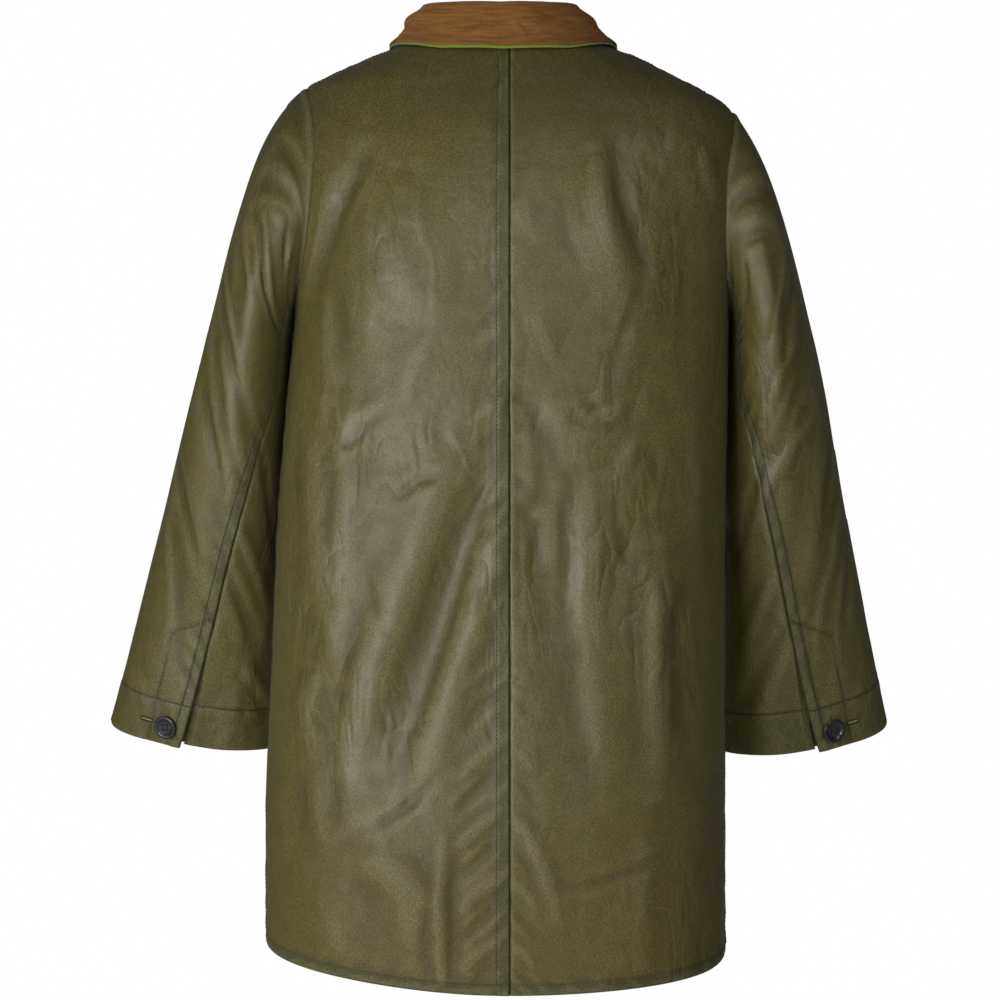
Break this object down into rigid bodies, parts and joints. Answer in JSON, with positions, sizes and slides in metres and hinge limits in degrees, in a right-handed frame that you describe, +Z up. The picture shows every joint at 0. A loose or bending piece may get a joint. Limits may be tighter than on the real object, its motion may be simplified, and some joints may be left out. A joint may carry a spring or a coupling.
{
  "type": "waxed cotton jacket",
  "caption": "Thigh-length waxed cotton jacket, filled out as worn, with a turned-down corduroy collar, centre back seam, two-piece sleeves, buttoned cuff vents and a buttoned front",
  "frame": {"origin": "the middle of the neckline at the height of the side neck, where the wearer's shoulders carry the jacket", "axes": "+X to the wearer's right, +Y the way the wearer faces, +Z up"},
  "size_m": [0.7208, 0.3256, 0.8661],
  "materials": {
    "waxed_cotton": "olive waxed cotton, soft uneven sheen",
    "corduroy": "brown needlecord, matt with a nap",
    "green_cloth": "lime green cloth, matt",
    "button": "near black, polished"
  },
  "bodies": {
    "root": {"back_left": "waxed_cotton", "front_left": "waxed_cotton", "top_sleeve_left": "waxed_cotton", "under_sleeve_left": "waxed_cotton", "vent_underlap_left": "waxed_cotton", "back_right": "waxed_cotton", "front_right": "waxed_cotton", "top_sleeve_right": "waxed_cotton", "under_sleeve_right": "waxed_cotton", "vent_underlap_right": "waxed_cotton", "collar": "corduroy", "under_collar": "green_cloth", "cuff_button_left": "button", "cuff_button_right": "button", "front_button_1": "button", "front_button_2": "button", "front_button_3": "button", "front_button_4": "button", "front_button_5": "button"}
  },
  "joints": []
}
